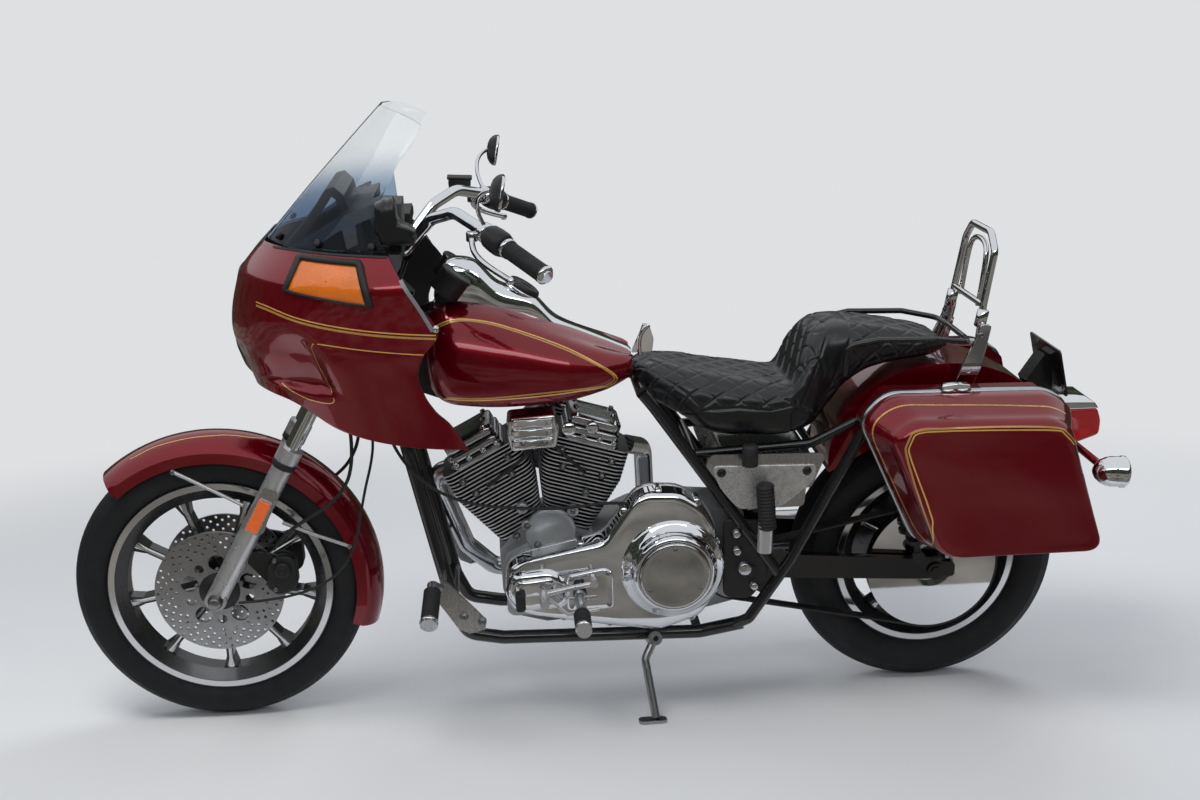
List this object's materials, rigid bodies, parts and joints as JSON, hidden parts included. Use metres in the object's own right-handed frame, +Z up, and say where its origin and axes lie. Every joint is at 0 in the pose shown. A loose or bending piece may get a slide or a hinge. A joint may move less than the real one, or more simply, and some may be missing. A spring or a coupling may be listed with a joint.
{
  "type": "touring cruiser motorcycle",
  "caption": "Touring cruiser motorcycle with frame-mounted fairing, V-twin engine, stepped quilted seat and hard saddlebags, leaning on its side stand.",
  "frame": {"origin": "rear tyre's contact point on the floor, on the wheels' line, with the motorcycle leaning on its side stand", "axes": "+X forward from the rear wheel to the front wheel, +Y to its left, towards the side stand, +Z up from the floor"},
  "size_m": [2.3735, 0.8435, 1.4121],
  "materials": {
    "red_paint": "deep gloss red lacquer with gold lines",
    "black_paint": "gloss black enamel",
    "rubber": "matt black rubber",
    "tyre": "tyre rubber",
    "chrome": "bright chrome",
    "polished_metal": "polished casting",
    "disc_steel": "brushed steel",
    "seat_leather": "quilted black cover",
    "black_plastic": "textured black",
    "clear_screen": "tinted clear sheet",
    "amber_lens": "amber lens",
    "red_lens": "red lens"
  },
  "bodies": {
    "chassis": {"air_cleaner": "chrome", "bag_shells": "red_paint", "cam_cover": "chrome", "clutch_cable": "rubber", "coil_cover": "chrome", "crankcase": "polished_metal", "cylinders": "polished_metal", "derby_cover": "chrome", "drive_belt": "rubber", "exhaust": "chrome", "fairing_dash": "black_plastic", "fairing_shell": "red_paint", "foot_controls": "polished_metal", "frame_cradle": "black_paint", "frame_main": "black_paint", "frame_rear": "black_paint", "front_signals": "amber_lens", "grab_rail": "black_plastic", "headlamp": "clear_screen", "highway_pegs": "chrome", "plate_holder": "black_paint", "primary_cover": "chrome", "rear_fender": "red_paint", "rear_signals": "chrome", "rocker_boxes": "polished_metal", "seat": "seat_leather", "shocks": "black_paint", "side_covers": "black_paint", "sissy_bar": "chrome", "swing_arm": "black_paint", "tail_lamp": "red_lens", "tank": "red_paint", "tank_console": "chrome", "windshield": "clear_screen"},
    "steering": {"fork_sliders": "polished_metal", "fork_tubes": "chrome", "triple_trees": "black_paint", "front_fender": "red_paint", "front_calipers": "black_paint", "handlebar": "chrome", "grips": "rubber", "hand_controls": "black_paint", "brake_hose_left": "rubber", "brake_hose_right": "rubber", "speedo_cable": "rubber"},
    "front_wheel": {"front_rim": "black_paint", "front_tyre": "tyre", "front_discs": "disc_steel"},
    "rear_wheel": {"rear_rim": "black_paint", "rear_tyre": "tyre", "rear_pulley": "chrome", "rear_disc": "disc_steel"},
    "side_stand": {"side_stand": "disc_steel"},
    "bag_lid_left": {"bag_lid_left": "red_paint"},
    "bag_lid_right": {"bag_lid_right": "red_paint"}
  },
  "joints": [
    {"name": "steering", "type": "hinge", "parent": "chassis", "child": "steering", "pos_m": [1.24811, 0.11845, 0.9028], "axis": [-0.4894, 0.1214, 0.8636], "range_deg": [-30, 30]},
    {"name": "front_wheel_spin", "type": "hinge", "parent": "steering", "child": "front_wheel", "pos_m": [1.643, 0.03758, 0.32737], "axis": [0, 0.9903, -0.1392], "continuous": true},
    {"name": "rear_wheel_spin", "type": "hinge", "parent": "chassis", "child": "rear_wheel", "pos_m": [0, 0.03591, 0.31549], "axis": [0, 0.9903, -0.1392], "continuous": true},
    {"name": "side_stand_fold", "type": "hinge", "parent": "chassis", "child": "side_stand", "pos_m": [0.66, 0.16563, 0.17507], "axis": [-0.1002, 0.9514, 0.2912], "range_deg": [0, 80]},
    {"name": "bag_lid_left_hinge", "type": "hinge", "parent": "chassis", "child": "bag_lid_left", "pos_m": [-0.04, 0.25577, 0.40476], "axis": [-1, 0, 0], "range_deg": [0, 70]},
    {"name": "bag_lid_right_hinge", "type": "hinge", "parent": "chassis", "child": "bag_lid_right", "pos_m": [-0.04, -0.15083, 0.4619], "axis": [1, 0, 0], "range_deg": [0, 70]}
  ]
}
